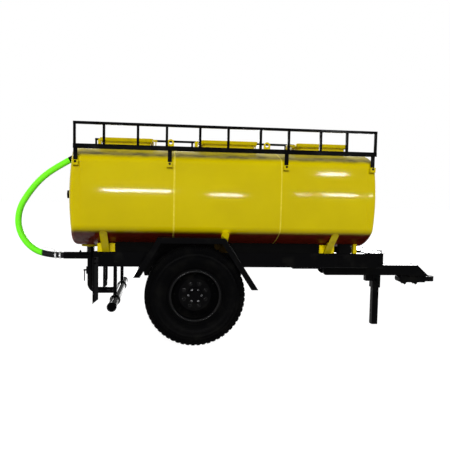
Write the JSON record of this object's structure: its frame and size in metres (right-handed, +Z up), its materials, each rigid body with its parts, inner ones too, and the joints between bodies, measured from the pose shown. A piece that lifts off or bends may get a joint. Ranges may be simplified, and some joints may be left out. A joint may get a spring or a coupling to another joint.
{
  "type": "towed water bowser trailer",
  "caption": "Tractor-drawn water tank trailer: yellow oval tank on a black chassis, side wheels, top rails, hatches, parking jack, sprinkler bar and a green hose.",
  "frame": {"origin": "on the ground, under the middle of the trailer's length and width, without the hose", "axes": "+X forward, towards the tow eye; +Y to the trailer's left; +Z up"},
  "size_m": [4.9559, 1.82, 2.22],
  "materials": {
    "yellow_paint": "gloss",
    "black_paint": "semi-gloss",
    "tyre": "matte",
    "green_hose": "satin",
    "black_rubber": "matte",
    "zinc": "satin"
  },
  "bodies": {
    "trailer": {"tank_ring_rear": "yellow_paint", "tank_ring_middle": "yellow_paint", "tank_ring_front": "yellow_paint", "tank_head_rear": "yellow_paint", "tank_head_front": "yellow_paint", "hatch_neck_rear": "yellow_paint", "hatch_neck_middle": "yellow_paint", "hatch_neck_front": "yellow_paint", "hinge_posts": "yellow_paint", "lifting_eyes": "yellow_paint", "rail_bars_right": "black_paint", "rail_bars_left": "black_paint", "rail_posts_right": "black_paint", "rail_posts_left": "black_paint", "rail_tabs": "yellow_paint", "chassis_beam_right": "black_paint", "chassis_beam_left": "black_paint", "cross_members": "black_paint", "beam_doublers": "black_paint", "front_cover_plate": "black_paint", "saddle_rear": "yellow_paint", "saddle_middle": "yellow_paint", "saddle_front": "yellow_paint", "tank_packing": "black_rubber", "front_stops": "yellow_paint", "drawbar_channels": "black_paint", "drawbar_pads": "black_paint", "drawbar_nose_plate": "black_paint", "tow_eye": "black_paint", "jack_sleeve": "black_paint", "axle_beam": "black_paint", "leaf_springs": "black_paint", "spring_hangers": "black_paint", "spring_clamps": "black_paint", "fender_right": "black_paint", "fender_left": "black_paint", "fender_stays": "black_paint", "outlet_pad": "yellow_paint", "outlet_bellows": "black_rubber", "riser_tee": "black_paint", "outlet_valve": "black_paint", "feed_pipe": "black_paint", "sprinkler_bar": "black_paint", "hose_hook": "black_paint", "head_stub": "black_paint", "sprinkler_hangers": "black_paint", "rear_leg_angles": "black_paint", "hose": "green_hose", "hose_inlet": "black_paint", "hose_clamps": "zinc"},
    "wheel_right": {"tyre_right": "tyre", "rim_right": "black_paint", "hub_right": "black_paint"},
    "wheel_left": {"tyre_left": "tyre", "rim_left": "black_paint", "hub_left": "black_paint"},
    "jack_leg": {"jack_leg": "black_paint"},
    "lid_rear": {"hatch_lid_rear": "yellow_paint"},
    "lid_middle": {"hatch_lid_middle": "yellow_paint"},
    "lid_front": {"hatch_lid_front": "yellow_paint"}
  },
  "joints": [
    {"name": "wheel_spin_right", "type": "hinge", "parent": "trailer", "child": "wheel_right", "pos_m": [-0.7185, -0.755, 0.509], "axis": [0, 1, 0], "continuous": true},
    {"name": "wheel_spin_left", "type": "hinge", "parent": "trailer", "child": "wheel_left", "pos_m": [-0.7185, 0.755, 0.509], "axis": [0, 1, 0], "continuous": true},
    {"name": "jack_slide", "type": "slide", "parent": "trailer", "child": "jack_leg", "axis": [0, 0, 1], "range_m": [0, 0.3]},
    {"name": "lid_hinge_rear", "type": "hinge", "parent": "trailer", "child": "lid_rear", "pos_m": [-1.7725, 0, 2.121], "axis": [0, -1, 0], "range_deg": [0, 110]},
    {"name": "lid_hinge_middle", "type": "hinge", "parent": "trailer", "child": "lid_middle", "pos_m": [-0.6865, 0, 2.121], "axis": [0, -1, 0], "range_deg": [0, 110]},
    {"name": "lid_hinge_front", "type": "hinge", "parent": "trailer", "child": "lid_front", "pos_m": [0.3935, 0, 2.121], "axis": [0, -1, 0], "range_deg": [0, 110]}
  ]
}
